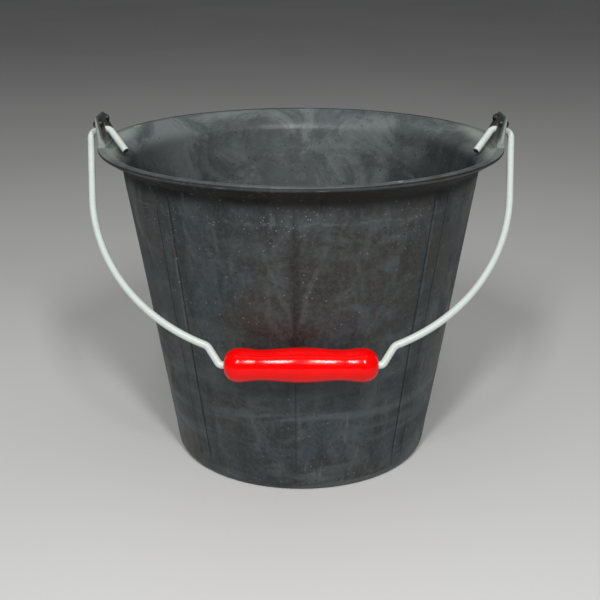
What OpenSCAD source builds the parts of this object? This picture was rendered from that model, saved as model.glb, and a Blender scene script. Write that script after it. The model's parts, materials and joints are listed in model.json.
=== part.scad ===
// Rubber bucket with moulded ear lugs, a hooked wire bail and a turning grip.
// The origin is the centre of the base on the floor, +X runs through the right ear.

/* [Bucket] */
// Outer radius of the lip
rim_r = 160; // [120:1:200]
// Height of the lip crest above the floor
rim_z = 257.6; // [200:0.2:320]
// Outer radius of the wall, carried down to the floor
base_r = 105.5; // [80:0.5:130]
// Lean of the wall, radius gained per millimetre of height
wall_slope = 0.1506; // [0.1:0.0001:0.2]
// Thickness of the wall
wall_t = 4.3; // [3:0.1:6]
// Thickness of the floor
floor_t = 6; // [4:0.5:9]
// Thickness of the lip at its rounded edge
lip_t = 4; // [3:0.1:6]

/* [Ear lugs] */
// Inner face of a lug at the lip crest, along X
lug_x = 151.6; // [148:0.1:154]
// Lean of the inner face, outwards per millimetre of height
lug_lean = 0.35; // [0.2:0.001:0.4]
// Thickness of a lug at the lip crest
lug_t = 5.4; // [4.5:0.05:7]
// Thickness lost per millimetre of height
lug_taper = 0.14; // [0.05:0.001:0.15]
// Height of the top of a lug
lug_top = 278; // [276:0.5:282]
// Half width of a lug at the lip crest
lug_half_w = 26.8; // [18:0.5:28]
// Half width lost per millimetre of height
lug_narrowing = 0.59; // [0.2:0.01:0.6]

/* [Bail] */
// Height of the bail pivot line
pivot_z = 266; // [264:0.5:268]
// Diameter of the bail wire
wire_d = 5.5; // [4:0.1:6]
// Distance of the top of a bail leg from the centre plane
leg_x = 166.5; // [165:0.5:172]
// Lean of a bail leg, inwards from its top
leg_lean = 5.77; // [0:0.01:8]
// Straight length of a bail leg
leg_straight = 53.7; // [30:0.1:60]
// Radius of the bow between a leg and the crank
bow_r = 147.9; // [140:0.1:170]
// Distance from the pivot line to the grip axis
bail_drop = 199.4; // [190:0.2:215]
// Radius of the wire where it leaves the lug
outer_bend_r = 7.5; // [7:0.1:9]
// Radius of the hook bend inside the lug
hook_bend_r = 5; // [4:0.1:7]
// Angle of the hook tail below the pivot line
hook_angle = 55; // [45:1:65]
// Straight length of the hook tail
hook_tail = 22; // [15:0.1:28]

/* [Grip] */
// Length of the grip
grip_len = 111; // [90:1:130]
// Radius of the grip in the middle
grip_belly_r = 12.7; // [11:0.05:14]
// Radius of the grip at the two necks
grip_neck_r = 11.2; // [10:0.05:13]
// Radius of the grip at the swellings near its ends
grip_bulge_r = 12.4; // [11:0.05:14]
// Clearance of the grip bore around the wire
grip_play = 0.4; // [0.2:0.05:0.8]

/* [Ear fittings] */
// Height of the two rivets through each lug
rivet_z = 272.5; // [271:0.1:274]
// Distance of a rivet from the middle of its lug
rivet_y = 13.5; // [11:0.1:14]
// Diameter of the rivet shank
rivet_d = 3.6; // [3:0.1:5]
// Diameter of the rivet head
rivet_head_d = 6.6; // [6:0.1:7]
// Height of the domed rivet head
rivet_head_h = 2.5; // [1.5:0.1:2.6]
// Outer diameter of the bush that lines each bail hole
bush_d = 8.8; // [8:0.1:10]
// Clearance of the bush around the wire
bush_play = 0.4; // [0.2:0.05:0.8]
// How far the ends of the bush lie below the faces of the lug
bush_recess = 0.7; // [0.5:0.1:1.2]
// Thickness of the steel plate moulded into each lug
plate_t = 1.2; // [1:0.1:1.6]

/* [Hidden] */
$fn = 96;

// Profile of the shell
wall_angle = atan(wall_slope);
lip_under_angle = 32;
lip_top_angle = 36;
lip_flat = 5;
base_corner_r = 6;
floor_corner_r = 12;
under_lip_fillet_r = 7;
lip_crest_r = 8;
lip_ridge_r = 12;

// Ribs and gussets of the shell under the lugs
rib_t = 5;
rib_proud_top = 2.2;
rib_foot_z = 60;
gusset_foot_z = 229;
gusset_top_z = rim_z - 7;
gusset_reach = 11;
// How far the rib and the gusset are sunk into the wall and the lip
rib_bury = 1;
gusset_bury = 2;

// Bail path: x to the side and z up from the pivot line, bail hanging straight down
wire_r = wire_d / 2;
bow_end = 22.5;
crank_angle = 58;
crank_r = 9;
grip_bend_r = 4;
hook_x = 154.7;
tip_chamfer = 0.7;
// Beads this much thicker than the wire fuse its runs and bends into one solid
bead_r = wire_r + 0.06;
// The grip rests this far from the wall
rest_gap = 0.4;
neck_x = 30;
bulge_x = 44.5;
grip_end_drop = 8.8;
// The bore widens a little at its two mouths
mouth_play = 0.7;
mouth_depth = 1;
// Angle of the bail from hanging straight down, where the grip meets the wall
rest_reach = (grip_belly_r + rest_gap) / cos(wall_angle) + base_r + wall_slope * pivot_z;
rest_angle = asin(rest_reach * cos(wall_angle) / bail_drop) - wall_angle;

// Lug fittings
lug_corner_r = 5;
lug_root_z = rim_z - 8;
plate_inset = 2;
plate_foot_z = rim_z - 3;
lug_mid_angle = atan(lug_lean - lug_taper / 2);
burr_d = 6.4;
burr_t = 0.8;
tail_d = 5;
tail_h = 1.2;
past = 20;

function dir(a) = [cos(a), sin(a)];

// Points of a rounded corner between two edges whose inward normals point along a1 and a2
function round_corner(q, a1, a2, r, n = 8) =
    let (n1 = dir(a1), n2 = dir(a2), c = q + r * (n1 + n2) / (1 + n1 * n2))
    [for (i = [0 : n]) c - r * dir(a1 + (a2 - a1) * i / n)];

function wall_out(z) = base_r + wall_slope * z;
function wall_in(z) = wall_out(z) - wall_t / cos(wall_angle);
function lug_in(z) = lug_x + lug_lean * (z - rim_z);
function lug_out(z) = lug_in(z) + lug_t - lug_taper * (z - rim_z);
function lug_mid(z) = (lug_in(z) + lug_out(z)) / 2;

// Section of the shell, from the axis under the floor, up outside and back down inside
function shell_profile() =
    let (
        nose = [rim_r - lip_t / 2, rim_z - lip_t / 2],
        under = nose + lip_t / 2 * dir(lip_under_angle - 90),
        crest = [rim_r - lip_flat, rim_z],
        under_z = (under[1] - (under[0] - base_r) * tan(lip_under_angle))
            / (1 - wall_slope * tan(lip_under_angle)),
        ridge_z = (crest[1] - (crest[0] - wall_in(0)) * tan(lip_top_angle))
            / (1 - wall_slope * tan(lip_top_angle))
    )
    concat(
        [[0, 0]],
        round_corner([base_r, 0], 90, 180 - wall_angle, base_corner_r),
        round_corner([wall_out(under_z), under_z], -wall_angle, lip_under_angle - 90,
            under_lip_fillet_r),
        [for (i = [0 : 10]) nose + lip_t / 2
            * dir(lip_under_angle - 90 + (180 - lip_under_angle) * i / 10)],
        round_corner(crest, -90, lip_top_angle - 90, lip_crest_r),
        round_corner([wall_in(ridge_z), ridge_z], lip_top_angle - 90, -wall_angle, lip_ridge_r),
        round_corner([wall_in(floor_t), floor_t], 180 - wall_angle, 90, floor_corner_r),
        [[0, floor_t]]
    );

// Outline of a lug seen along X, shrunk by an inset at the sides and the top
module lug_outline(root_z, inset = 0) {
    top = lug_top - inset;
    half = function(z) lug_half_w - inset - lug_narrowing * (z - rim_z);
    side_angle = atan(lug_narrowing);
    corner = round_corner([half(top), top], 180 + side_angle, 270, lug_corner_r, 6);
    right_side = concat([[half(root_z), root_z]], corner);
    left_side = [for (i = [len(right_side) - 1 : -1 : 0]) [-right_side[i][0], right_side[i][1]]];
    polygon(concat(right_side, left_side));
}

// The right lug, or a thinner copy of it about the same middle plane
module lug_block(root_z, inset = 0, thin = 0) {
    in_root = thin > 0 ? lug_mid(root_z) - thin / 2 : lug_in(root_z);
    in_top = thin > 0 ? lug_mid(lug_top) - thin / 2 : lug_in(lug_top);
    out_top = thin > 0 ? lug_mid(lug_top) + thin / 2 : lug_out(lug_top);
    out_root = thin > 0 ? lug_mid(root_z) + thin / 2 : lug_out(root_z);
    intersection() {
        rotate([90, 0, 0])
            linear_extrude(height = 4 * past, center = true)
                polygon([
                    [in_root, root_z], [out_root, root_z],
                    [out_top, lug_top], [in_top, lug_top]
                ]);
        translate([lug_x - past, 0, 0])
            rotate([90, 0, 90])
                linear_extrude(height = 2 * past)
                    lug_outline(root_z, inset);
    }
}

// Gusset under the lip and the rib that runs down the wall below it
module rib_block() {
    rotate([90, 0, 0])
        linear_extrude(height = rib_t, center = true)
            polygon([
                [wall_out(rib_foot_z) - rib_bury, rib_foot_z],
                [wall_out(gusset_foot_z) + rib_proud_top, gusset_foot_z],
                [wall_out(gusset_foot_z) + gusset_reach, gusset_top_z],
                [wall_out(rim_z) - gusset_bury, gusset_top_z],
                [wall_out(gusset_foot_z) - rib_bury, gusset_foot_z]
            ]);
}

// Cylinder along X through the right lug, on the pivot line
module across_lug(d) {
    translate([lug_x - past, 0, pivot_z])
        rotate([0, 90, 0])
            cylinder(h = 2 * past, d = d);
}

// Places a fitting on the right lug with its +Z along the outward normal, at the middle plane
module on_rivet_axis(side) {
    translate([lug_mid(rivet_z), side * rivet_y, rivet_z])
        rotate([0, 90 + lug_mid_angle, 0])
            children();
}

half_grip_of_lug = (lug_out(rivet_z) - lug_in(rivet_z)) / 2 * cos(lug_mid_angle);

module rivet_shape() {
    head_r = rivet_head_d / 2;
    // Radius of the sphere that gives the dome its height and width
    dome_r = (head_r * head_r + rivet_head_h * rivet_head_h) / (2 * rivet_head_h);
    // The shank, with the peened tail on the inside
    translate([0, 0, -half_grip_of_lug - burr_t])
        cylinder(h = 2 * half_grip_of_lug + burr_t, d = rivet_d);
    translate([0, 0, -half_grip_of_lug - burr_t - tail_h])
        cylinder(h = tail_h, d1 = tail_d - 1, d2 = tail_d);
    translate([0, 0, half_grip_of_lug])
        intersection() {
            translate([0, 0, rivet_head_h - dome_r])
                sphere(r = dome_r);
            cylinder(h = rivet_head_h, d = 2 * rivet_head_d);
        }
}

module burr_shape() {
    translate([0, 0, -half_grip_of_lug - burr_t])
        difference() {
            cylinder(h = burr_t, d = burr_d);
            translate([0, 0, -1])
                cylinder(h = burr_t + 2, d = rivet_d);
        }
}

// Both lugs' steel plates fill pockets of the same shape in the rubber
module plate_blank() {
    lug_block(plate_foot_z, plate_inset, plate_t);
}

module lug_cuts() {
    across_lug(bush_d);
    plate_blank();
    for (side = [-1, 1])
        on_rivet_axis(side) {
            cylinder(h = 2 * past, d = rivet_d, center = true);
            // Flat seats that the head and the burr press into the rubber
            translate([0, 0, half_grip_of_lug])
                cylinder(h = past, d = rivet_head_d);
            translate([0, 0, -half_grip_of_lug - past])
                cylinder(h = past, d = burr_d);
        }
}

module bucket_shell() {
    color("#3c4242")
        difference() {
            union() {
                rotate_extrude($fn = 180)
                    polygon(shell_profile());
                for (side = [0, 1])
                    mirror([side, 0, 0]) {
                        lug_block(lug_root_z);
                        rib_block();
                    }
            }
            for (side = [0, 1])
                mirror([side, 0, 0])
                    lug_cuts();
        }
}

module ear_plate() {
    color("#8a8d8f")
        difference() {
            plate_blank();
            across_lug(bush_d);
            for (side = [-1, 1])
                on_rivet_axis(side)
                    cylinder(h = 2 * past, d = rivet_d, center = true);
        }
}

module ear_bush() {
    color("#9a9c9c")
        difference() {
            intersection() {
                across_lug(bush_d);
                lug_block(lug_root_z, 0, lug_t - 2 * bush_recess);
            }
            across_lug(wire_d + 2 * bush_play);
        }
}

module ear_rivet(side) {
    color("#5c5f60")
        on_rivet_axis(side)
            rivet_shape();
}

module rivet_burr(side) {
    color("#7d8081")
        on_rivet_axis(side)
            burr_shape();
}

module ear_plate_left() { mirror([1, 0, 0]) ear_plate(); }
module ear_plate_right() { ear_plate(); }
module ear_bush_left() { mirror([1, 0, 0]) ear_bush(); }
module ear_bush_right() { ear_bush(); }
module ear_rivet_front_left() { mirror([1, 0, 0]) ear_rivet(-1); }
module ear_rivet_front_right() { ear_rivet(-1); }
module ear_rivet_rear_left() { mirror([1, 0, 0]) ear_rivet(1); }
module ear_rivet_rear_right() { ear_rivet(1); }
module rivet_burr_front_left() { mirror([1, 0, 0]) rivet_burr(-1); }
module rivet_burr_front_right() { rivet_burr(-1); }
module rivet_burr_rear_left() { mirror([1, 0, 0]) rivet_burr(1); }
module rivet_burr_rear_right() { rivet_burr(1); }

// Straight wire from p along the heading a, in the plane of the bail
module wire_run(p, a, length, chamfer = 0) {
    translate([p[0], 0, p[1]])
        rotate([0, 90 - a, 0]) {
            cylinder(h = length - chamfer, r = wire_r);
            if (chamfer > 0)
                translate([0, 0, length - chamfer])
                    cylinder(h = chamfer, r1 = wire_r, r2 = wire_r - chamfer);
        }
}

// Bent wire about the centre c, from angle a0 to angle a1
module wire_bend(c, r, a0, a1) {
    translate([c[0], 0, c[1]])
        rotate([90, 0, 0])
            rotate([0, 0, min(a0, a1)])
                rotate_extrude(angle = abs(a1 - a0))
                    translate([r, 0])
                        circle(r = wire_r, $fn = 48);
}

// Bead where two pieces of the wire meet
module wire_bead(p) {
    translate([p[0], 0, p[1]])
        sphere(r = bead_r, $fn = 48);
}

// One half of the bail, from the grip to the tip of the hook
module half_bail() {
    bend_c = [leg_x - outer_bend_r, -outer_bend_r];
    leg_top = bend_c + outer_bend_r * dir(-leg_lean);
    leg_foot = leg_top + leg_straight * dir(-90 - leg_lean);
    bow_c = leg_foot - bow_r * dir(-leg_lean);
    crank_c = bow_c + (bow_r + crank_r) * dir(bow_end - 90);
    link_top = crank_c + crank_r * dir(90 + crank_angle);
    link_drop = link_top[1] + bail_drop - grip_bend_r * (1 - cos(crank_angle));
    link_foot = link_top + link_drop / sin(crank_angle) * dir(180 + crank_angle);
    grip_bend_c = link_foot + grip_bend_r * dir(90 + crank_angle);
    hook_c = [hook_x, -hook_bend_r];
    hook_end = hook_c + hook_bend_r * dir(90 + hook_angle);

    // The grip run is drawn twice as long, so that the two halves share it
    wire_run([-grip_bend_c[0], -bail_drop], 0, 2 * grip_bend_c[0]);
    wire_bead([grip_bend_c[0], -bail_drop]);
    wire_bend(grip_bend_c, grip_bend_r, crank_angle - 90, -90);
    wire_bead(link_foot);
    wire_run(link_top, 180 + crank_angle, link_drop / sin(crank_angle));
    wire_bead(link_top);
    wire_bend(crank_c, crank_r, 90 + bow_end, 90 + crank_angle);
    wire_bead(bow_c + bow_r * dir(bow_end - 90));
    wire_bend(bow_c, bow_r, bow_end - 90, -leg_lean);
    wire_bead(leg_foot);
    wire_run(leg_foot, 90 - leg_lean, leg_straight);
    wire_bead(leg_top);
    wire_bend(bend_c, outer_bend_r, -leg_lean, 90);
    wire_bead([bend_c[0], 0]);
    wire_run([hook_x, 0], 0, bend_c[0] - hook_x);
    wire_bead([hook_x, 0]);
    wire_bend(hook_c, hook_bend_r, 90, 90 + hook_angle);
    wire_bead(hook_end);
    wire_run(hook_end, 180 + hook_angle, hook_tail, tip_chamfer);
}

// Places the bail and the grip where they lie at rest, against the front of the wall
module at_rest() {
    translate([0, 0, pivot_z])
        rotate([-rest_angle, 0, 0])
            children();
}

module bail_wire() {
    color("#d9dcd8")
        at_rest()
            for (side = [0, 1])
                mirror([side, 0, 0])
                    half_bail();
}

// Eases a radius from r0 to r1 as t goes from 0 to 1
function wave(r0, r1, t) = (r0 + r1) / 2 + (r0 - r1) / 2 * cos(180 * t);

// Half section of the grip: x along the wire and the radius there, from the middle outwards
function grip_outline(n = 10) =
    concat(
        [for (i = [0 : n]) [neck_x * i / n, wave(grip_belly_r, grip_neck_r, i / n)]],
        [for (i = [1 : 6])
            [neck_x + (bulge_x - neck_x) * i / 6, wave(grip_neck_r, grip_bulge_r, i / 6)]],
        [for (i = [1 : n]) [bulge_x + (grip_len / 2 - bulge_x) * sin(90 * i / n),
            grip_bulge_r - grip_end_drop * (1 - cos(90 * i / n))]]
    );

module bail_grip() {
    bore_r = wire_r + grip_play;
    mouth_r = wire_r + mouth_play;
    half = grip_outline();
    last = len(half) - 1;
    section = concat(
        [[mouth_r, grip_len / 2], [bore_r, grip_len / 2 - mouth_depth]],
        [[bore_r, mouth_depth - grip_len / 2], [mouth_r, -grip_len / 2]],
        [for (i = [last : -1 : 1]) [half[i][1], -half[i][0]]],
        [for (i = [0 : last]) [half[i][1], half[i][0]]]
    );
    color("#e01010")
        at_rest()
            translate([0, 0, -bail_drop])
                rotate([0, 90, 0])
                    rotate_extrude()
                        polygon(section);
}

bucket_shell();
ear_plate_left();
ear_plate_right();
ear_bush_left();
ear_bush_right();
ear_rivet_front_left();
ear_rivet_rear_left();
ear_rivet_front_right();
ear_rivet_rear_right();
rivet_burr_front_left();
rivet_burr_rear_left();
rivet_burr_front_right();
rivet_burr_rear_right();
bail_wire();
bail_grip();
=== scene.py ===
import json
import math

import bpy
import numpy as np
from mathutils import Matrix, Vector


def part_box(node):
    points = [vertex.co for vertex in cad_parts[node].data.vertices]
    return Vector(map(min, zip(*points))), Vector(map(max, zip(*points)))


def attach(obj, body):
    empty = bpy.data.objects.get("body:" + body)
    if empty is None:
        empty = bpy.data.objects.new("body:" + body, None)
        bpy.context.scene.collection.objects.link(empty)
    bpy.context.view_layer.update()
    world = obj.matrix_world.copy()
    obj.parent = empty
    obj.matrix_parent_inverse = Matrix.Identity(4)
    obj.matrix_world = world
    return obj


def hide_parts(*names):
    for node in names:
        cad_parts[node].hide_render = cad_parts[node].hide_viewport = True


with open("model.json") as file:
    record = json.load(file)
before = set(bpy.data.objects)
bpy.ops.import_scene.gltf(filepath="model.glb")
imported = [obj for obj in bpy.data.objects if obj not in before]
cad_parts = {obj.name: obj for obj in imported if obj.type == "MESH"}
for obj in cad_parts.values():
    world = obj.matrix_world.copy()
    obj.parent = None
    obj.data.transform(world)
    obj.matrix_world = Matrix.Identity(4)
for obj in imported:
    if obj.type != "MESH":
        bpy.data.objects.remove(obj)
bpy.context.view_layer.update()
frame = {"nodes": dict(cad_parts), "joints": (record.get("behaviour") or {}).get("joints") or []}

MM = 0.001

# ---------------------------------------------------------------- driving sizes, in millimetres
RIM_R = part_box("bucket_shell")[1].y / MM
RIM_Z = 257.6
BASE_R = 105.5
WALL_SLOPE = 0.1506
WALL_T = 4.3
FLOOR_T = 6.0
LIP_T = 4.0
LIP_FLAT = 5.0
LIP_UNDER_ANGLE = 32.0
LIP_TOP_ANGLE = 36.0
BASE_CORNER_R = 6.0
FLOOR_CORNER_R = 12.0
UNDER_LIP_FILLET_R = 7.0
LIP_CREST_R = 8.0
LIP_RIDGE_R = 12.0

LUG_X = 151.6
LUG_LEAN = 0.35
LUG_T = 5.4
LUG_TAPER = 0.14
LUG_HALF_W = 26.8
LUG_NARROWING = 0.59
LUG_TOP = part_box("bucket_shell")[1].z / MM

WIRE_R = 2.75
OUTER_BEND_R = 7.5
HOOK_BEND_R = 5.0
HOOK_ANGLE = 55.0
HOOK_TAIL = 22.0
HOOK_X = 154.7
LEG_LEAN = 5.77
LEG_STRAIGHT = 53.7
BOW_R = 147.9
BOW_END = 22.5
CRANK_ANGLE = 58.0
CRANK_R = 9.0
GRIP_BEND_R = 4.0
BUSH_R = 4.4

joints = {j["name"]: j for j in frame["joints"]}
PIVOT = Vector(joints["bail_swing"]["pos_m"])
GRIP_AT = Vector(joints["grip_spin"]["pos_m"])
TO_GRIP = GRIP_AT - PIVOT
BAIL_DROP = TO_GRIP.length / MM
REST_ANGLE = math.atan2(-TO_GRIP.y, -TO_GRIP.z)
LEG_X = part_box("bail_wire")[1].x / MM - WIRE_R

WALL_ANGLE = math.degrees(math.atan(WALL_SLOPE))


# ---------------------------------------------------------------- small geometry helpers
def direction(degrees):
    """Unit vector at an angle in the plane."""
    a = math.radians(degrees)
    return np.array([math.cos(a), math.sin(a)])


def round_corner(corner, a1, a2, radius, n=10):
    """Points of a rounded corner between edges whose inward normals point along a1 and a2."""
    n1, n2 = direction(a1), direction(a2)
    centre = np.array(corner) + radius * (n1 + n2) / (1 + n1 @ n2)
    return [centre - radius * direction(a1 + (a2 - a1) * i / n) for i in range(n + 1)]


def arc(centre, radius, a0, a1, n):
    """Points along an arc from angle a0 to angle a1, in n steps."""
    return [np.array(centre) + radius * direction(a0 + (a1 - a0) * i / n) for i in range(n + 1)]


def smooth_step(x, low, high):
    """Rises smoothly from 0 at low to 1 at high."""
    t = np.clip((x - low) / (high - low), 0, 1)
    return t * t * (3 - 2 * t)


def soft_min(a, b, k):
    """The smaller of two values, blended over a width k where they are close."""
    h = np.clip(0.5 + 0.5 * (b - a) / k, 0, 1)
    return b * (1 - h) + a * h - k * h * (1 - h)


def resample(path, n, start=0.0, end=1.0):
    """n points at even distances along a polyline, between two fractions of its length."""
    path = np.asarray(path)
    steps = np.linalg.norm(np.diff(path, axis=0), axis=1)
    along = np.concatenate([[0], np.cumsum(steps)])
    at = np.linspace(start, end, n) * along[-1]
    return np.stack([np.interp(at, along, path[:, k]) for k in (0, 1)], axis=1)


def make_object(name, verts, faces, smooth=True):
    """An object in the scene, made from vertices in metres."""
    mesh = bpy.data.meshes.new(name)
    mesh.from_pydata([tuple(v) for v in verts], [], faces)
    mesh.validate()
    mesh.update()
    if smooth:
        mesh.shade_smooth()
    piece = bpy.data.objects.new(name, mesh)
    bpy.context.scene.collection.objects.link(piece)
    return piece


def ring_faces(rings, sides):
    """Quads between rings of the same number of sides."""
    faces = []
    for i in range(rings - 1):
        for j in range(sides):
            k = (j + 1) % sides
            a, b = i * sides, (i + 1) * sides
            faces.append((a + j, a + k, b + k, b + j))
    return faces


def add_attribute(piece, name, values):
    """Stores one number per vertex, which a material can read by its name."""
    layer = piece.data.attributes.new(name, "FLOAT", "POINT")
    layer.data.foreach_set("value", np.asarray(values, dtype=np.float32))


def apply_modifiers(piece):
    """Replaces a piece's mesh by the one that its modifiers give."""
    deps = bpy.context.evaluated_depsgraph_get()
    mesh = bpy.data.meshes.new_from_object(piece.evaluated_get(deps))
    piece.modifiers.clear()
    piece.data = mesh


# ---------------------------------------------------------------- rubber shell
def wall_out(z):
    return BASE_R + WALL_SLOPE * z


def wall_in(z):
    return wall_out(z) - WALL_T / math.cos(math.radians(WALL_ANGLE))


def lug_inner(z):
    return LUG_X + LUG_LEAN * (z - RIM_Z)


def lug_outer(z):
    return lug_inner(z) + LUG_T - LUG_TAPER * (z - RIM_Z)


def shell_paths():
    """The section of the shell as three polylines: outside up to the lip, over the lip, and inside."""
    tan_u = math.tan(math.radians(LIP_UNDER_ANGLE))
    tan_t = math.tan(math.radians(LIP_TOP_ANGLE))
    nose = np.array([RIM_R - LIP_T / 2, RIM_Z - LIP_T / 2])
    under = nose + LIP_T / 2 * direction(LIP_UNDER_ANGLE - 90)
    under_z = (under[1] - (under[0] - BASE_R) * tan_u) / (1 - WALL_SLOPE * tan_u)
    crest = [RIM_R - LIP_FLAT, RIM_Z]
    ridge_z = (RIM_Z - (crest[0] - wall_in(0)) * tan_t) / (1 - WALL_SLOPE * tan_t)
    outside = round_corner([BASE_R, 0], 90, 180 - WALL_ANGLE, BASE_CORNER_R)
    outside += round_corner(
        [wall_out(under_z), under_z], -WALL_ANGLE, LIP_UNDER_ANGLE - 90, UNDER_LIP_FILLET_R
    )
    outside.append(under)
    lip = arc(nose, LIP_T / 2, LIP_UNDER_ANGLE - 90, 90, 24)
    lip += round_corner(crest, -90, LIP_TOP_ANGLE - 90, LIP_CREST_R, 16)
    lip += round_corner(
        [wall_in(ridge_z), ridge_z], LIP_TOP_ANGLE - 90, -WALL_ANGLE, LIP_RIDGE_R, 16
    )
    inside = [lip[-1]]
    inside += round_corner([wall_in(FLOOR_T), FLOOR_T], 180 - WALL_ANGLE, 90, FLOOR_CORNER_R)
    return np.array(outside), np.array(lip), np.array(inside)


LUG_CORNER_BLEND = 4.0
LUG_FOOT_BLEND = 3.0


def lug_height(y):
    """Height of a lug above the lip crest at a distance y from its middle plane."""
    slope_z = (LUG_HALF_W - abs(y)) / LUG_NARROWING
    if slope_z <= -2 * LUG_FOOT_BLEND:
        return 0.0
    top = soft_min(LUG_TOP - RIM_Z, slope_z, LUG_CORNER_BLEND)
    return max(0.0, -soft_min(-top, 0.0, LUG_FOOT_BLEND))


def lip_at_radius(lip, r):
    """Fraction of the lip path where it has come in to the radius r, past its widest point."""
    steps = np.linalg.norm(np.diff(lip, axis=0), axis=1)
    along = np.concatenate([[0], np.cumsum(steps)]) / steps.sum()
    widest = int(np.argmax(lip[:, 0]))
    return np.interp(-r, -lip[widest:, 0], along[widest:])


# Rows of points up one face of a lug: its foot fillet, its flat face and its rounded top edge
LUG_FOOT_ROWS = 4
LUG_FACE_ROWS = 13
LUG_CAP_ROWS = 5
LUG_EDGE_R = 1.3
LUG_FOOT_OUT = 1.0
LUG_FOOT_IN = 3.0
# A lug lower than this is drawn as the bare lip
LUG_LEAST = 0.05


def lug_column(lip, y, cos_az):
    """Section of a lug in one vertical plane: up the outside, over the top, down the inside."""
    height = lug_height(y)
    edge = LUG_HALF_W + 1.0
    spread = math.sqrt(1 + (min(abs(y), edge) / LUG_X) ** 2) if height == 0 else 1 / cos_az
    points = []
    for side, foot in ((1, LUG_FOOT_OUT), (-1, LUG_FOOT_IN)):
        rise = min(foot, height / 2)
        face = lug_outer if side > 0 else lug_inner
        half = []
        for i in range(LUG_FOOT_ROWS):
            phi = math.radians(90 * i / (LUG_FOOT_ROWS - 1))
            z_root = RIM_Z + rise * (1 - math.cos(phi))
            r = face(z_root) * spread + side * rise * (1 - math.sin(phi))
            surface = resample(lip, 1, lip_at_radius(lip, r))[0]
            half.append([surface[0], surface[1] + rise * (1 - math.cos(phi))])
        foot_z = half[-1][1]
        round_r = min(LUG_EDGE_R, max(0.0, height - rise))
        top_z = max(RIM_Z + height, foot_z)
        for i in range(1, LUG_FACE_ROWS + 1):
            z = foot_z + (top_z - round_r - foot_z) * i / LUG_FACE_ROWS
            half.append([face(z) * spread, z])
        for i in range(1, LUG_CAP_ROWS + 1):
            phi = math.radians(90 * i / LUG_CAP_ROWS)
            z = top_z - round_r * (1 - math.sin(phi))
            r = face(z) * spread - side * round_r * (1 - math.cos(phi))
            half.append([r, z])
        if height < LUG_LEAST:
            half = [list(resample(lip, 1, lip_at_radius(lip, p[0]))[0]) for p in half]
        points.append(half)
    outer, inner = points
    middle = [[(outer[-1][k] + inner[-1][k]) / 2 for k in (0, 1)]]
    return outer + middle + inner[::-1]


# Four flat strips down the wall, whose edges have a groove beside them, in degrees and millimetres
STRIP_FROM_FRONT = 45.5
STRIP_AZIMUTHS = [
    middle + side * STRIP_FROM_FRONT for middle, side in ((-90, -1), (-90, 1), (90, -1), (90, 1))
]
STRIP_HALF = 2.75
STRIP_EDGE = 0.35
STRIP_PROUD = 0.8
GROOVE_OFFSET = 0.25
GROOVE_HALF = 0.18
GROOVE_DEPTH = 0.35
# Two seams where the mould parts
SEAM_AZIMUTHS = (-92.5, 87.5)
SEAM_PROUD = 0.25
SEAM_HALF = 0.28
# Ribs and gussets under the lugs
LUG_AZIMUTHS = (0, 180)
# The half width of a rib holds at this radius, and it tapers with the wall below
RIB_AT_R = 150
RIB_HALF_W = 2.5
RIB_PROUD = 2.2
RIB_FOOT = 60.0
GUSSET_FOOT = 229.0
GUSSET_TOP = RIM_Z - 7
GUSSET_REACH = 11.0
# Faint ring below the lip
RING_Z = 226.5
RING_PROUD = 0.3
RING_HALF = 0.9


def column_angles():
    """Azimuths of the shell's columns, closer together where it has lugs, ribs and edges."""
    spans = [(middle, 11, 0.2) for middle in LUG_AZIMUTHS]
    spans += [(middle, 1.2, 0.1) for middle in LUG_AZIMUTHS]
    for middle in STRIP_AZIMUTHS:
        spans += [(middle + edge, 0.75, 0.125) for edge in (-STRIP_HALF, STRIP_HALF)]
    spans += [(middle, 0.6, 0.15) for middle in SEAM_AZIMUTHS]
    angles = set(np.round(np.arange(0, 360, 1.0), 3))
    for middle, half, step in spans:
        angles |= set(np.round(middle + np.arange(-half, half + 0.01, step), 3) % 360)
    return np.array(sorted(angles))


def angle_from(a, middle):
    """Difference of two azimuths, from -180 up to 180 degrees."""
    return (a - middle + 180) % 360 - 180


def bell(distance, half):
    """Falls from 1 at no distance to nearly 0 at twice the half width."""
    return np.exp(-((distance / half) ** 2))


def wall_zone(z):
    """1 on the plain part of the wall, fading out at its foot and below the lip."""
    return smooth_step(z, 8, 26) * (1 - smooth_step(z, 232, 241))


def rib_and_gusset(az, middle, out, z):
    """Adds to the radii the rib under one lug and the gusset that it swells into below the lip."""
    y = abs(math.sin(math.radians(angle_from(az, middle)))) * RIB_AT_R
    strip = 1 - float(smooth_step(np.array(y), RIB_HALF_W - 0.5, RIB_HALF_W + 0.2))
    rib = np.interp(z, [RIB_FOOT, GUSSET_FOOT], [0, RIB_PROUD])
    rib *= (z > RIB_FOOT) & (z <= GUSSET_FOOT)
    out += rib * strip
    foot_r = wall_out(GUSSET_FOOT)
    gusset = np.interp(z, [GUSSET_FOOT, GUSSET_TOP], [foot_r + RIB_PROUD, foot_r + GUSSET_REACH])
    out += np.maximum(gusset - out, 0) * ((z > GUSSET_FOOT) & (z < GUSSET_TOP + 0.1)) * strip


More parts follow.
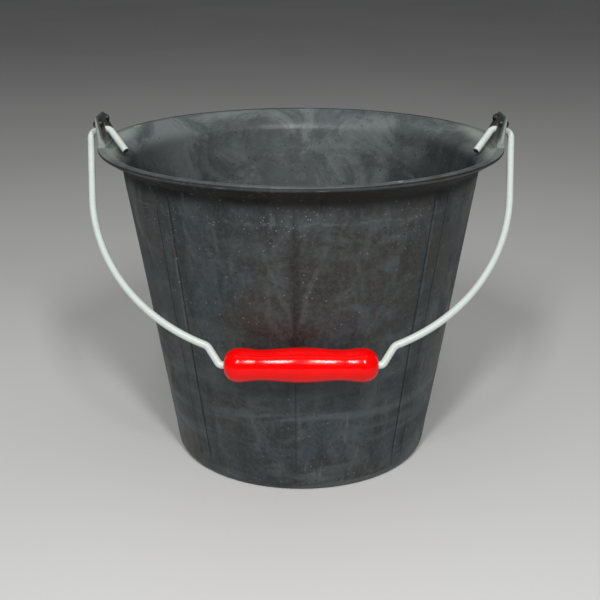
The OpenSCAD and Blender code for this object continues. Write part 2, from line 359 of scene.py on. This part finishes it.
def outside_relief(az, r, z):
    """Radius of the outside at one azimuth with its strips, seams, ribs and slight unevenness."""
    body = wall_zone(z)
    out = r.copy()
    for middle in STRIP_AZIMUTHS:
        d = abs(angle_from(az, middle))
        raised = 1 - smooth_step(np.array(d), STRIP_HALF - STRIP_EDGE, STRIP_HALF)
        groove = bell(d - STRIP_HALF - GROOVE_OFFSET, GROOVE_HALF)
        out += (STRIP_PROUD * raised - GROOVE_DEPTH * groove) * body
    for middle in SEAM_AZIMUTHS:
        out += SEAM_PROUD * bell(angle_from(az, middle), SEAM_HALF) * body
    for middle in LUG_AZIMUTHS:
        if abs(angle_from(az, middle)) < 5:
            rib_and_gusset(az, middle, out, z)
    out += RING_PROUD * bell(z - RING_Z, RING_HALF)
    # The wall of a rubber moulding is never quite true
    a = math.radians(az)
    out += 0.35 * np.sin(3 * a + z / 60) * body + 0.2 * np.sin(7 * a + 1.3 + z / 34) * body
    return out


def groove_shade_and_lines(az, z):
    """Painted shade in the grooves beside the flat strips, with dark lines on the strips and beside the
    seams.
    """
    amount = 0.0
    for middle in STRIP_AZIMUTHS:
        d = abs(angle_from(az, middle)) - STRIP_HALF
        # Painted shade in the groove beside each strip edge, and a fainter dark line on the strip itself
        amount += 0.95 * bell(d - GROOVE_OFFSET, 0.32)
        amount += 0.30 * bell(d + 1.6, 0.40)
    for middle in SEAM_AZIMUTHS:
        # A dark line beside each seam
        amount += 0.45 * bell(angle_from(az, middle) - 0.4, 0.30)
    return amount * wall_zone(z)


# Values of the attribute that tells the material which side of the shell a point is on
OUTSIDE = 0.0
ON_LUG = 0.5
INSIDE = 1.0


def column_painted_shade(az, column, zone, lug_middle):
    """Painted shade down one column of points: under the lip, on the inner faces of the lugs and low
    inside, with the grooves' shade and dark lines.
    """
    r, z = column[:, 0], column[:, 1]
    sideways = math.cos(math.radians(az)) ** 2
    # Painted shadow in a band under the lip, on the outside
    under_lip = smooth_step(z, 232, 243) * (zone == OUTSIDE) * (r < RIM_R - 2.5)
    # Painted shade on the inner faces of the lugs, which face away from the lights
    lug_inside = 0.75 * (np.arange(len(z)) > lug_middle) * (zone == ON_LUG) * smooth_step(z, 259, 264)
    # Painted shade low inside, with more of it high up on the inside towards the lugs
    low_inside = (1 - smooth_step(z, 150, 246)) * 0.35
    low_inside += 0.6 * sideways * (1 - smooth_step(z, 236, 252))
    return under_lip + lug_inside + low_inside * (zone == INSIDE) + groove_shade_and_lines(az, z) * (zone == OUTSIDE)


# Points in one rounded corner of the outside path
CORNER_POINTS = 11


def build_shell():
    """The rubber moulding, made of columns of points that run up the outside and down the inside."""
    outside, lip, inside = shell_paths()
    columns, zones, column_shades = [], [], []
    bottom_r = np.linspace(0, 1, 12)[1:-1] ** 0.8 * outside[0][0]
    bottom = np.stack([bottom_r, np.zeros(len(bottom_r))], axis=1)
    wall_foot, wall_head = outside[CORNER_POINTS - 1], outside[CORNER_POINTS]
    lip_root = outside[2 * CORNER_POINTS - 1:]
    wall = resample([wall_foot, wall_head], 96)[1:-1]
    under = np.concatenate([outside[CORNER_POINTS:2 * CORNER_POINTS], resample(lip_root, 8)[1:]])
    floor_r = np.linspace(1, 0, 16)[1:-1] * inside[-1][0]
    floor = np.stack([floor_r, np.full(len(floor_r), FLOOR_T)], axis=1)
    inner_wall = resample([inside[0], inside[1]], 80)[1:-1]
    for az in column_angles():
        side_az = angle_from(az, 0) if abs(angle_from(az, 0)) < 90 else angle_from(az, 180)
        near_lug = abs(side_az) < 12
        y = math.tan(math.radians(side_az)) * (LUG_X + 3) if near_lug else 2 * LUG_HALF_W
        cos_az = math.cos(math.radians(side_az)) if near_lug else 1.0
        lug = np.array(lug_column(lip, y, cos_az))
        over = resample(lip, 22, 0.0, lip_at_radius(lip, lug[0][0]))[1:-1]
        down = resample(lip, 46, lip_at_radius(lip, lug[-1][0]), 1.0)[1:]
        low = np.concatenate([outside[:CORNER_POINTS], wall, under])
        low[:, 0] = outside_relief(az, low[:, 0], low[:, 1])
        before = np.concatenate([bottom, low, over])
        after = np.concatenate([down, inner_wall, inside[1:], floor])
        column = np.concatenate([before, lug, after])
        zone = np.repeat([OUTSIDE, ON_LUG, INSIDE], [len(before), len(lug), len(after)])
        a = math.radians(az)
        columns.append(np.stack([column[:, 0] * math.cos(a), column[:, 0] * math.sin(a), column[:, 1]], 1))
        zones.append(zone)
        column_shades.append(column_painted_shade(az, column, zone, len(before) + len(lug) / 2))
    rows = len(columns[0])
    count = len(columns)
    verts = np.concatenate(columns) * MM
    low_middle, high_middle = len(verts), len(verts) + 1
    verts = np.concatenate([verts, [[0, 0, 0], [0, 0, FLOOR_T * MM]]])
    faces = []
    for j in range(count):
        k = (j + 1) % count
        a, b = j * rows, k * rows
        faces.append((low_middle, b, a))
        for i in range(rows - 1):
            faces.append((a + i, b + i, b + i + 1, a + i + 1))
        faces.append((a + rows - 1, b + rows - 1, high_middle))
    shell = make_object("rubber_shell", verts, faces)
    add_attribute(shell, "inside", np.concatenate(zones + [[OUTSIDE, INSIDE]]))
    # Painted shade, with the dark lines of the grooves and seams, stored for the material
    add_attribute(shell, "painted_shade_and_lines", np.concatenate(column_shades + [[0, 0.4]]))
    return shell


def cylinder_between(name, start, end, radius, sides=48):
    """A closed cylinder between two points, used to cut a bore."""
    axis = (end - start).normalized()
    across = axis.orthogonal().normalized()
    third = axis.cross(across)
    turns = [2 * math.pi * i / sides for i in range(sides)]
    ring = [radius * (math.cos(a) * across + math.sin(a) * third) for a in turns]
    verts = [start + r for r in ring] + [end + r for r in ring]
    faces = ring_faces(2, sides)
    faces.append(tuple(range(sides))[::-1])
    faces.append(tuple(range(sides, 2 * sides)))
    return make_object(name, verts, faces, smooth=False)


# The cutters of the bail holes run between these distances from the middle of the bucket
BORE_FROM = 145
BORE_TO = 170


def bore_shell(shell):
    """Cuts the bail hole through each lug."""
    cutters = []
    for side in (-1, 1):
        start = Vector((side * BORE_FROM * MM, 0, PIVOT.z))
        end = Vector((side * BORE_TO * MM, 0, PIVOT.z))
        cutters.append(cylinder_between("bore_cutter", start, end, BUSH_R * MM))
    for cutter in cutters:
        cut = shell.modifiers.new("cut", "BOOLEAN")
        cut.operation = "DIFFERENCE"
        cut.solver = "EXACT"
        cut.object = cutter
    apply_modifiers(shell)
    shell.data.shade_smooth()
    shell.data.set_sharp_from_angle(angle=math.radians(48))
    for cutter in cutters:
        bpy.data.objects.remove(cutter)


# ---------------------------------------------------------------- bail wire
def bail_path():
    """Half of the bail's middle line, from the grip's middle to the tip of the hook."""
    bend_c = np.array([LEG_X - OUTER_BEND_R, -OUTER_BEND_R])
    leg_top = bend_c + OUTER_BEND_R * direction(-LEG_LEAN)
    leg_foot = leg_top + LEG_STRAIGHT * direction(-90 - LEG_LEAN)
    bow_c = leg_foot - BOW_R * direction(-LEG_LEAN)
    crank_c = bow_c + (BOW_R + CRANK_R) * direction(BOW_END - 90)
    link_top = crank_c + CRANK_R * direction(90 + CRANK_ANGLE)
    rise = GRIP_BEND_R * (1 - math.cos(math.radians(CRANK_ANGLE)))
    link = (link_top[1] + BAIL_DROP - rise) / math.sin(math.radians(CRANK_ANGLE))
    link_foot = link_top + link * direction(180 + CRANK_ANGLE)
    grip_bend_c = link_foot + GRIP_BEND_R * direction(90 + CRANK_ANGLE)
    hook_c = np.array([HOOK_X, -HOOK_BEND_R])
    hook_end = hook_c + HOOK_BEND_R * direction(90 + HOOK_ANGLE)
    tip = hook_end + HOOK_TAIL * direction(180 + HOOK_ANGLE)
    path = list(resample([[0, -BAIL_DROP], [grip_bend_c[0], -BAIL_DROP]], 12)[:-1])
    path += arc(grip_bend_c, GRIP_BEND_R, -90, CRANK_ANGLE - 90, 10)
    path += arc(crank_c, CRANK_R, 90 + CRANK_ANGLE, 90 + BOW_END, 14)
    path += arc(bow_c, BOW_R, BOW_END - 90, -LEG_LEAN, 64)[1:]
    path += list(resample([leg_foot, leg_top], 14)[1:-1])
    path += arc(bend_c, OUTER_BEND_R, -LEG_LEAN, 90, 14)
    path += arc(hook_c, HOOK_BEND_R, 90, 90 + HOOK_ANGLE, 10)
    path += list(resample([hook_end, tip], 10)[1:])
    return np.array(path)


WIRE_SIDES = 28
TIP_CHAMFER = 0.7


def build_wire():
    """The bent wire, a ring of points at each station of its path."""
    half = bail_path()
    path = np.concatenate([half[1:][::-1] * np.array([-1, 1]), half])
    tangent = np.gradient(path, axis=0)
    tangent /= np.linalg.norm(tangent, axis=1)[:, None]
    normal = np.stack([-tangent[:, 1], tangent[:, 0]], axis=1)
    # Each tip is chamfered over three rings, whose distance inwards and radius are given here
    tip = [(0, WIRE_R - TIP_CHAMFER), (TIP_CHAMFER * 0.4, WIRE_R - 0.15), (TIP_CHAMFER, WIRE_R)]
    stations = [(path[0] + tangent[0] * inwards, normal[0], radius) for inwards, radius in tip]
    stations += [(path[i], normal[i], WIRE_R) for i in range(1, len(path) - 1)]
    stations += [(path[-1] - tangent[-1] * inwards, normal[-1], radius) for inwards, radius in tip[::-1]]
    c, s = math.cos(-REST_ANGLE), math.sin(-REST_ANGLE)
    verts = []
    for centre, across, radius in stations:
        for phi in np.arange(WIRE_SIDES) * 2 * math.pi / WIRE_SIDES:
            x, z = centre + radius * math.cos(phi) * across
            y = radius * math.sin(phi)
            verts.append((x * MM, (y * c - z * s) * MM + PIVOT.y, (y * s + z * c) * MM + PIVOT.z))
    faces = ring_faces(len(stations), WIRE_SIDES)
    faces.append(tuple(range(WIRE_SIDES))[::-1])
    faces.append(tuple(range(len(verts) - WIRE_SIDES, len(verts))))
    wire = make_object("bail_wire_coated", verts, faces)
    # The coating is missing on the two cut ends
    cut = np.zeros(len(verts))
    cut[:WIRE_SIDES] = 1.0
    cut[-WIRE_SIDES:] = 1.0
    add_attribute(wire, "cut", cut)
    wire.data.set_sharp_from_angle(angle=math.radians(50))
    return wire


# ---------------------------------------------------------------- grip
GRIP_LEN = (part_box("bail_grip")[1].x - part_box("bail_grip")[0].x) / MM
GRIP_BELLY_R = 12.7
GRIP_NECK_R = 11.2
GRIP_BULGE_R = 12.4
NECK_X = 30.0
BULGE_X = 44.5
GRIP_END_DROP = 8.8
GRIP_BORE_R = WIRE_R + 0.4
GRIP_MOUTH_R = WIRE_R + 0.7
MOUTH_DEPTH = 1.0
GRIP_SIDES = 120
MOUTH_EDGE = 0.15
# Moulding seams along the front and the back of the grip
GRIP_SEAMS = (GRIP_SIDES // 4, 3 * GRIP_SIDES // 4)
GRIP_SEAM_PROUD = 0.12


def wave(r0, r1, t):
    """Eases a radius from r0 to r1 as t goes from 0 to 1."""
    return (r0 + r1) / 2 + (r0 - r1) / 2 * math.cos(math.pi * t)


def grip_radius(x):
    """Radius of the grip's skin at a distance x from its middle."""
    if x <= NECK_X:
        return wave(GRIP_BELLY_R, GRIP_NECK_R, x / NECK_X)
    if x <= BULGE_X:
        return wave(GRIP_NECK_R, GRIP_BULGE_R, (x - NECK_X) / (BULGE_X - NECK_X))
    t = min(1.0, (x - BULGE_X) / (GRIP_LEN / 2 - BULGE_X))
    return GRIP_BULGE_R - GRIP_END_DROP * (1 - math.sqrt(1 - t * t))


def grip_stations():
    """Distances from the middle of the grip, closer together towards its rounded end."""
    round_len = GRIP_LEN / 2 - BULGE_X
    ends = [BULGE_X + round_len * math.sin(math.radians(90 * i / 18)) for i in range(19)]
    return list(np.linspace(0, BULGE_X, 56)[:-1]) + ends


def build_grip():
    """The sleeve, turned about the wire: its skin first, and then its two mouths and its bore."""
    half = [(x, grip_radius(x)) for x in grip_stations()]
    skin = [(-x, r) for x, r in half[:0:-1]] + half
    mouth = [(GRIP_LEN / 2, GRIP_MOUTH_R + MOUTH_EDGE), (GRIP_LEN / 2 - MOUTH_EDGE, GRIP_MOUTH_R)]
    bore_x = GRIP_LEN / 2 - MOUTH_DEPTH
    bore = [(bore_x, GRIP_BORE_R), (-bore_x, GRIP_BORE_R)]
    section = skin + mouth + bore + [(-x, r) for x, r in mouth[::-1]]
    verts = []
    for x, r in section:
        on_skin = r > GRIP_MOUTH_R + 1
        for j in range(GRIP_SIDES):
            a = 2 * math.pi * j / GRIP_SIDES
            radius = r + GRIP_SEAM_PROUD if on_skin and j in GRIP_SEAMS else r
            offset = Vector((x, radius * math.cos(a), radius * math.sin(a)))
            verts.append(GRIP_AT + offset * MM)
    faces = ring_faces(len(section), GRIP_SIDES)
    last = (len(section) - 1) * GRIP_SIDES
    for j in range(GRIP_SIDES):
        k = (j + 1) % GRIP_SIDES
        faces.append((last + j, last + k, k, j))
    return make_object("grip_sleeve", verts, faces)


# ---------------------------------------------------------------- materials
class Nodes:
    """A small helper to write shader trees in a few lines."""

    def __init__(self, name):
        self.mat = bpy.data.materials.new(name)
        self.mat.use_nodes = True
        self.tree = self.mat.node_tree
        self.shader = self.tree.nodes["Principled BSDF"]
        self.coords = self.tree.nodes.new("ShaderNodeTexCoord").outputs["Object"]

    def new(self, kind, **inputs):
        node = self.tree.nodes.new(kind)
        for key, value in inputs.items():
            self.put(node.inputs[key.replace("_", " ")], value)
        return node

    def put(self, socket, value):
        if isinstance(value, bpy.types.NodeSocket):
            self.tree.links.new(value, socket)
        else:
            socket.default_value = value

    def scaled(self, scale, turn=(0, 0, 0)):
        node = self.new("ShaderNodeMapping", Vector=self.coords)
        node.inputs["Scale"].default_value = scale
        node.inputs["Rotation"].default_value = turn
        return node.outputs["Vector"]

    def noise(self, scale, detail=4.0, rough=0.55, warp=0.0, vector=None):
        node = self.new("ShaderNodeTexNoise", Vector=vector or self.coords, Scale=scale)
        node.inputs["Detail"].default_value = detail
        node.inputs["Roughness"].default_value = rough
        node.inputs["Distortion"].default_value = warp
        return node.outputs["Fac"]

    def spots(self, scale, vector=None):
        node = self.new("ShaderNodeTexVoronoi", Vector=vector or self.coords, Scale=scale)
        return node.outputs["Distance"]

    def between(self, value, low, high, to_low=0.0, to_high=1.0):
        """Eases from to_low at low to to_high at high, where low may be the larger of the two."""
        node = self.tree.nodes.new("ShaderNodeMapRange")
        node.interpolation_type = "SMOOTHSTEP"
        self.put(node.inputs["Value"], value)
        node.inputs["From Min"].default_value = low
        node.inputs["From Max"].default_value = high
        node.inputs["To Min"].default_value = to_low
        node.inputs["To Max"].default_value = to_high
        return node.outputs["Result"]

    def band(self, value, start, full, fade, end):
        """1 between full and fade, and 0 before start and after end."""
        return self.times(self.between(value, start, full), self.between(value, end, fade))

    def times(self, product, *factors):
        for factor in factors:
            product = self.math("MULTIPLY", product, factor)
        return product

    def plus(self, a, b):
        return self.math("ADD", a, b)

    def math(self, operation, a, b=0.0):
        node = self.tree.nodes.new("ShaderNodeMath")
        node.operation = operation
        self.put(node.inputs[0], a)
        self.put(node.inputs[1], b)
        return node.outputs["Value"]

    def mix(self, factor, a, b):
        node = self.tree.nodes.new("ShaderNodeMix")
        node.data_type = "RGBA"
        self.put(node.inputs["Factor"], factor)
        # Inputs 6 and 7 and output 2 are the ones that carry colours
        for socket, value in ((node.inputs[6], a), (node.inputs[7], b)):
            self.put(socket, (*value, 1.0) if isinstance(value, tuple) else value)
        return node.outputs[2]

    def bump(self, height, strength, distance, normal=None):
        node = self.new("ShaderNodeBump", Height=height, Strength=strength, Distance=distance)
        if normal is not None:
            self.put(node.inputs["Normal"], normal)
        return node.outputs["Normal"]

    def attribute(self, name):
        node = self.tree.nodes.new("ShaderNodeAttribute")
        node.attribute_name = name
        return node.outputs["Fac"]

    def axis(self, index):
        return self.new("ShaderNodeSeparateXYZ", Vector=self.coords).outputs[index]

    def finish(self, **inputs):
        for key, value in inputs.items():
            self.put(self.shader.inputs[key.replace("_", " ")], value)
        return self.mat


def rubber_bloom(n, height):
    """Black rubber with a grey bloom in clouds, patches, washes, drips and low bands."""
    clouds = n.between(n.noise(15.0, 6.0, 0.66, 0.9), 0.42, 0.62)
    patches = n.between(n.noise(38.0, 6.0, 0.70, 0.5), 0.46, 0.64)
    drips = n.between(n.noise(40.0, 4.0, 0.6, 0.25, n.scaled((1.0, 1.0, 0.14))), 0.50, 0.64)
    washes = n.between(n.noise(58.0, 4.0, 0.6, 0.25, n.scaled((1.0, 1.0, 0.10))), 0.54, 0.70)
    bands = n.between(n.noise(34.0, 3.0, 0.5, 0.5, n.scaled((0.22, 0.22, 1.5))), 0.48, 0.62)
    warm = n.between(n.noise(9.0, 3.0, 0.5, 0.4, n.scaled((1.0, 1.0, 0.6), (0.3, 0.2, 1.1))), 0.46, 0.60)
    low = n.between(height, 0.115, 0.070, 0.25, 0.75)
    colour = n.mix(warm, (0.014, 0.019, 0.022), (0.022, 0.020, 0.017))
    colour = n.mix(n.times(clouds, 0.90), colour, (0.027, 0.037, 0.043))
    colour = n.mix(n.times(patches, 0.55), colour, (0.060, 0.074, 0.080))
    colour = n.mix(n.times(washes, 0.40), colour, (0.066, 0.080, 0.084))
    colour = n.mix(n.times(drips, 0.70), colour, (0.009, 0.010, 0.010))
    return n.mix(n.times(bands, low), colour, (0.062, 0.076, 0.082)), clouds


def front_smear(n, colour, side, depth, height):
    """A dark smear down the front above the grip, with a pale fork and a dark trail in it."""
    tall = n.band(height, 0.120, 0.150, 0.200, 0.232)
    front = n.between(depth, 0.0, -0.05)
    smear = n.times(n.band(side, -0.030, -0.010, 0.012, 0.032), tall, front)
    torn = n.between(n.noise(60.0, 4.0, 0.6, 0.5, n.scaled((1.0, 1.0, 0.30))), 0.36, 0.58, 0.35, 1.0)
    colour = n.mix(n.times(smear, torn, 0.60), colour, (0.013, 0.011, 0.011))
    # The fork's two arms start together at this height and part by this much on the way up
    fork_foot, fork_spread = 0.142, 0.34
    arm = n.math("ABSOLUTE", n.plus(side, n.times(n.noise(30.0, 3.0, 0.6), 0.010)))
    arm = n.math("SUBTRACT", arm, n.times(n.math("SUBTRACT", height, fork_foot), fork_spread))
    fork = n.times(n.between(n.math("ABSOLUTE", arm), 0.0032, 0.0006), tall, front)
    colour = n.mix(n.times(fork, torn, 0.26), colour, (0.10, 0.11, 0.11))
    trail = n.math("ABSOLUTE", n.plus(side, n.times(n.noise(24.0, 3.0, 0.6), 0.008)))
    trail = n.times(n.between(trail, 0.0042, 0.0012), front, tall)
    return n.mix(n.times(trail, 0.75), colour, (0.006, 0.006, 0.006))


def chalky_inside_and_lit_lip(n, colour, side, height, inside):
    """The inside is chalkier, and the upward face of the lip near the lugs gets painted light."""
    chalk = n.between(n.noise(20.0, 6.0, 0.70, 0.9), 0.40, 0.62, 0.30, 1.0)
    colour = n.mix(n.times(inside, chalk), colour, (0.138, 0.157, 0.158))
    # Painted light on the lip's upward face near each lug
    painted_light_near_lugs = n.plus(n.between(side, 0.132, 0.148), n.between(side, -0.132, -0.148))
    painted_light_near_lugs = n.times(painted_light_near_lugs, n.between(height, 0.2490, 0.2545), inside)
    return n.mix(n.times(painted_light_near_lugs, 0.90), colour, (0.27, 0.31, 0.275))


def scuffs(n, colour, height, outside):
    """A broken scuff line round the wall below the lip, with specks, dots, pits and scratches."""
    line_z = n.plus(height, n.times(n.noise(22.0, 3.0, 0.5), 0.010))
    line = n.band(line_z, 0.2290, 0.2305, 0.2308, 0.2328)
    line = n.times(line, n.between(n.noise(90.0, 5.0, 0.8), 0.44, 0.62))
    colour = n.mix(n.times(line, outside, 0.26), colour, (0.16, 0.17, 0.165))
    speck_zone = n.between(n.noise(14.0, 2.0, 0.5), 0.42, 0.58)
    specks = n.times(n.between(n.spots(330.0), 0.20, 0.06), outside, speck_zone)
    specks = n.times(specks, n.band(height, 0.185, 0.220, 0.230, 0.243))
    colour = n.mix(n.times(specks, 0.60), colour, (0.42, 0.42, 0.40))
    dots = n.between(n.spots(170.0), 0.15, 0.05)
    dots = n.times(dots, n.between(n.noise(30.0, 3.0, 0.6), 0.42, 0.56))
    colour = n.mix(n.times(dots, 0.50), colour, (0.22, 0.225, 0.22))
    pits = n.between(n.spots(120.0, n.scaled((1.0, 1.0, 1.0), (0.5, 0.7, 0.2))), 0.13, 0.04)
    colour = n.mix(n.times(pits, 0.8), colour, (0.004, 0.004, 0.004))
    upright = n.scaled((1.0, 1.0, 0.035), (0.05, 0.04, 0.0))
    scratches = n.between(n.noise(300.0, 2.0, 0.5, 0.1, upright), 0.62, 0.72)
    scratches = n.times(scratches, n.between(n.noise(7.0, 2.0, 0.5), 0.44, 0.60))
    return n.mix(n.times(scratches, 0.36), colour, (0.12, 0.13, 0.13))


def lip_wear_and_highlights(n, colour, height, outside):
    """Pale rounded edges, partly wear and partly painted highlight, a painted highlight along the lip
    crest, and a painted dark line for the shade of a parting line on the edge outside the crest.
    """
    geometry = n.tree.nodes.new("ShaderNodeNewGeometry")
    # Rounded edges high up are painted pale, partly as wear and partly as painted highlight
    edge_wear_and_highlight = n.between(geometry.outputs["Pointiness"], 0.512, 0.58)
    edge_wear_and_highlight = n.times(edge_wear_and_highlight, n.between(n.noise(60.0, 4.0, 0.6), 0.30, 0.60, 0.45, 1.0))
    edge_wear_and_highlight = n.times(edge_wear_and_highlight, n.between(height, 0.235, 0.250, 0.35, 0.9))
    colour = n.mix(edge_wear_and_highlight, colour, (0.28, 0.30, 0.285))
    patchy = n.between(n.noise(48.0, 5.0, 0.7, 0.2), 0.34, 0.60, 0.25, 1.0)
    # A painted highlight along the crest of the lip
    crest = n.band(height, 0.25690, 0.25745, 0.2578, 0.2590)
    colour = n.mix(n.times(crest, patchy, 0.75), colour, (0.23, 0.245, 0.23))
    # A painted dark line on the outer edge below the crest, standing for the shade of a parting line
    parting_line_shade = n.band(height, 0.25500, 0.25560, 0.25600, 0.25660)
    return n.mix(n.times(parting_line_shade, outside, 0.80), colour, (0.008, 0.008, 0.008))


def rubber_material():
    """Black vulcanised rubber, bloomed, smeared and scuffed, with painted shade and painted highlights.
    Heights are in metres.
    """
    n = Nodes("bloomed_rubber")
    side, depth, height = n.axis(0), n.axis(1), n.axis(2)
    inside = n.attribute("inside")
    outside = n.math("SUBTRACT", 1.0, inside)
    # Painted shade from the shell, with dark lines along the grooves and seams
    painted_shade_and_lines = n.attribute("painted_shade_and_lines")
    unshaded = n.math("SUBTRACT", 1.0, painted_shade_and_lines)
    grain = n.between(n.noise(300.0, 4.0, 0.7), 0.40, 0.70)

    colour, clouds = rubber_bloom(n, height)
    colour = front_smear(n, colour, side, depth, height)
    colour = chalky_inside_and_lit_lip(n, colour, side, height, inside)
    # The painted shade darkens the colour nearly to black
    colour = n.mix(painted_shade_and_lines, colour, (0.006, 0.0062, 0.006))
    colour = n.mix(n.times(grain, unshaded, 0.20), colour, (0.115, 0.130, 0.130))
    colour = scuffs(n, colour, height, outside)
    colour = lip_wear_and_highlights(n, colour, height, outside)

    rough = n.between(clouds, 0.0, 1.0, 0.42, 0.62)
    rough = n.plus(n.plus(rough, n.times(grain, 0.06)), n.times(painted_shade_and_lines, 0.30))
    pores = n.bump(n.noise(900.0, 2.0, 0.5), 0.45, 0.0002)
    dents = n.bump(n.noise(70.0, 5.0, 0.6, 0.3), 0.50, 0.0012, pores)
    return n.finish(Base_Color=colour, Roughness=rough, Normal=dents, Specular_IOR_Level=0.40)


def wire_material():
    """White coated steel wire, slightly soiled and chipped, with dark bare steel at its two cut ends."""
    n = Nodes("white_coated_wire")
    soil = n.between(n.noise(60.0, 4.0, 0.6), 0.46, 0.72)
    fine = n.between(n.noise(420.0, 3.0, 0.6), 0.45, 0.75)
    colour = n.mix(n.times(soil, 0.30), (0.55, 0.60, 0.565), (0.37, 0.40, 0.37))
    colour = n.mix(n.times(fine, 0.20), colour, (0.40, 0.43, 0.40))
    chips = n.between(n.spots(240.0), 0.10, 0.04)
    chips = n.times(chips, n.between(n.noise(40.0, 2.0, 0.5), 0.60, 0.70))
    colour = n.mix(chips, colour, (0.20, 0.20, 0.19))
    colour = n.mix(n.attribute("cut"), colour, (0.05, 0.05, 0.045))
    rough = n.between(soil, 0.0, 1.0, 0.30, 0.46)
    skin = n.bump(n.noise(520.0, 3.0, 0.5), 0.20, 0.0002)
    waves = n.bump(n.noise(110.0, 2.0, 0.5), 0.25, 0.0004, skin)
    return n.finish(Base_Color=colour, Roughness=rough, Normal=waves)


def grip_material():
    """Glossy red moulded plastic with faint flow marks and hairline scratches."""
    n = Nodes("gloss_red_plastic")
    flow = n.between(n.noise(45.0, 3.0, 0.5, 0.8), 0.35, 0.70)
    colour = n.mix(n.times(flow, 0.5), (0.84, 0.0004, 0.0006), (0.68, 0.0002, 0.0003))
    dust = n.between(n.spots(420.0), 0.08, 0.03)
    dust = n.times(dust, n.between(n.noise(80.0, 2.0, 0.5), 0.55, 0.70))
    colour = n.mix(n.times(dust, 0.5), colour, (0.85, 0.25, 0.22))
    hairs = n.between(n.noise(260.0, 2.0, 0.5, 0.0, n.scaled((0.06, 1.0, 1.0))), 0.60, 0.72)
    rough = n.between(hairs, 0.0, 1.0, 0.15, 0.26)
    peel = n.bump(n.noise(150.0, 2.0, 0.5), 0.12, 0.0005)
    return n.finish(Base_Color=colour, Roughness=rough, Normal=peel, Specular_IOR_Level=0.22)


def steel_material(name, bright, dark, rough_low, rough_high):
    """Plated or oxidised steel with cloudy tarnish and fine scratches."""
    n = Nodes(name)
    tarnish = n.between(n.noise(190.0, 4.0, 0.6, 0.4), 0.38, 0.66)
    colour = n.mix(tarnish, bright, dark)
    scratch = n.between(n.noise(900.0, 2.0, 0.5, 0.0, n.scaled((1.0, 0.1, 1.0))), 0.55, 0.75)
    rough = n.between(tarnish, 0.0, 1.0, rough_low, rough_high)
    normal = n.bump(scratch, 0.25, 0.0001)
    return n.finish(Base_Color=colour, Roughness=rough, Metallic=1.0, Normal=normal)


def floor_material():
    """Plain pale floor with a very faint unevenness."""
    n = Nodes("pale_floor")
    tone = n.between(n.noise(1.4, 2.0, 0.5), 0.3, 0.7)
    colour = n.mix(tone, (0.58, 0.58, 0.57), (0.62, 0.62, 0.61))
    return n.finish(Base_Color=colour, Roughness=0.7)


def set_material(piece, material):
    piece.data.materials.clear()
    piece.data.materials.append(material)


# ---------------------------------------------------------------- build the pieces
rubber = rubber_material()
shell = build_shell()
bore_shell(shell)
set_material(shell, rubber)
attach(shell, "bucket")
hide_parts("bucket_shell")

wire = build_wire()
set_material(wire, wire_material())
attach(wire, "bail")
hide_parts("bail_wire")

grip = build_grip()
set_material(grip, grip_material())
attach(grip, "grip")
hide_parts("bail_grip")

plated = steel_material("plated_steel", (0.40, 0.41, 0.41), (0.24, 0.24, 0.23), 0.32, 0.55)
oxidised = steel_material("oxidised_steel", (0.085, 0.088, 0.088), (0.040, 0.040, 0.038), 0.42, 0.62)
for node, piece in frame["nodes"].items():
    if node.startswith(("ear_plate", "ear_bush")):
        set_material(piece, plated)
    elif node.startswith(("ear_rivet", "rivet_burr")):
        set_material(piece, oxidised)


# ---------------------------------------------------------------- floor, light and camera
def add_floor():
    size = 30.0
    verts = [(-size, -size, 0), (size, -size, 0), (size, size, 0), (-size, size, 0)]
    floor = make_object("floor", verts, [(0, 1, 2, 3)], smooth=False)
    set_material(floor, floor_material())


def add_area_light(name, power, size, size_y, place, target):
    """A soft light, sized in metres, that faces its target."""
    data = bpy.data.lights.new(name, "AREA")
    data.energy = power
    data.shape = "RECTANGLE"
    data.size = size
    data.size_y = size_y
    light = bpy.data.objects.new(name, data)
    light.location = place
    light.rotation_mode = "QUATERNION"
    light.rotation_quaternion = (Vector(target) - Vector(place)).to_track_quat("-Z", "Y")
    bpy.context.scene.collection.objects.link(light)


def set_colours():
    view = bpy.context.scene.view_settings
    view.view_transform = "Standard"
    view.look = "None"


def add_world(strength):
    world = bpy.data.worlds.new("studio")
    world.use_nodes = True
    background = world.node_tree.nodes["Background"]
    background.inputs["Color"].default_value = (0.93, 0.95, 0.95, 1)
    background.inputs["Strength"].default_value = strength
    bpy.context.scene.world = world


# The camera's place and pitch match the view in which the bucket is shown
CAMERA_PLACE = (-0.0008, -0.8183, 0.4165)
CAMERA_PITCH = 0.34607
CAMERA_LENS = 61.85


def add_camera():
    data = bpy.data.cameras.new("camera")
    data.lens = CAMERA_LENS
    data.sensor_width = 36.0
    camera = bpy.data.objects.new("camera", data)
    camera.location = CAMERA_PLACE
    forward = Vector((0, math.cos(CAMERA_PITCH), -math.sin(CAMERA_PITCH)))
    camera.rotation_mode = "QUATERNION"
    camera.rotation_quaternion = forward.to_track_quat("-Z", "Y")
    data.clip_start = 0.02
    bpy.context.scene.collection.objects.link(camera)
    bpy.context.scene.camera = camera


add_floor()
add_area_light("overhead", 7.5, 1.8, 1.8, (0.0, 0.1, 2.1), (0, 0, 0.1))
# Two small lights give the grip its pairs of highlights
for name, light_x in (("left_box", -0.30), ("right_box", 0.30)):
    add_area_light(name, 14.5, 0.17, 0.44, (light_x, -1.22, 1.24), (0, -0.137, 0.121))
add_world(0.11)
add_camera()
set_colours()
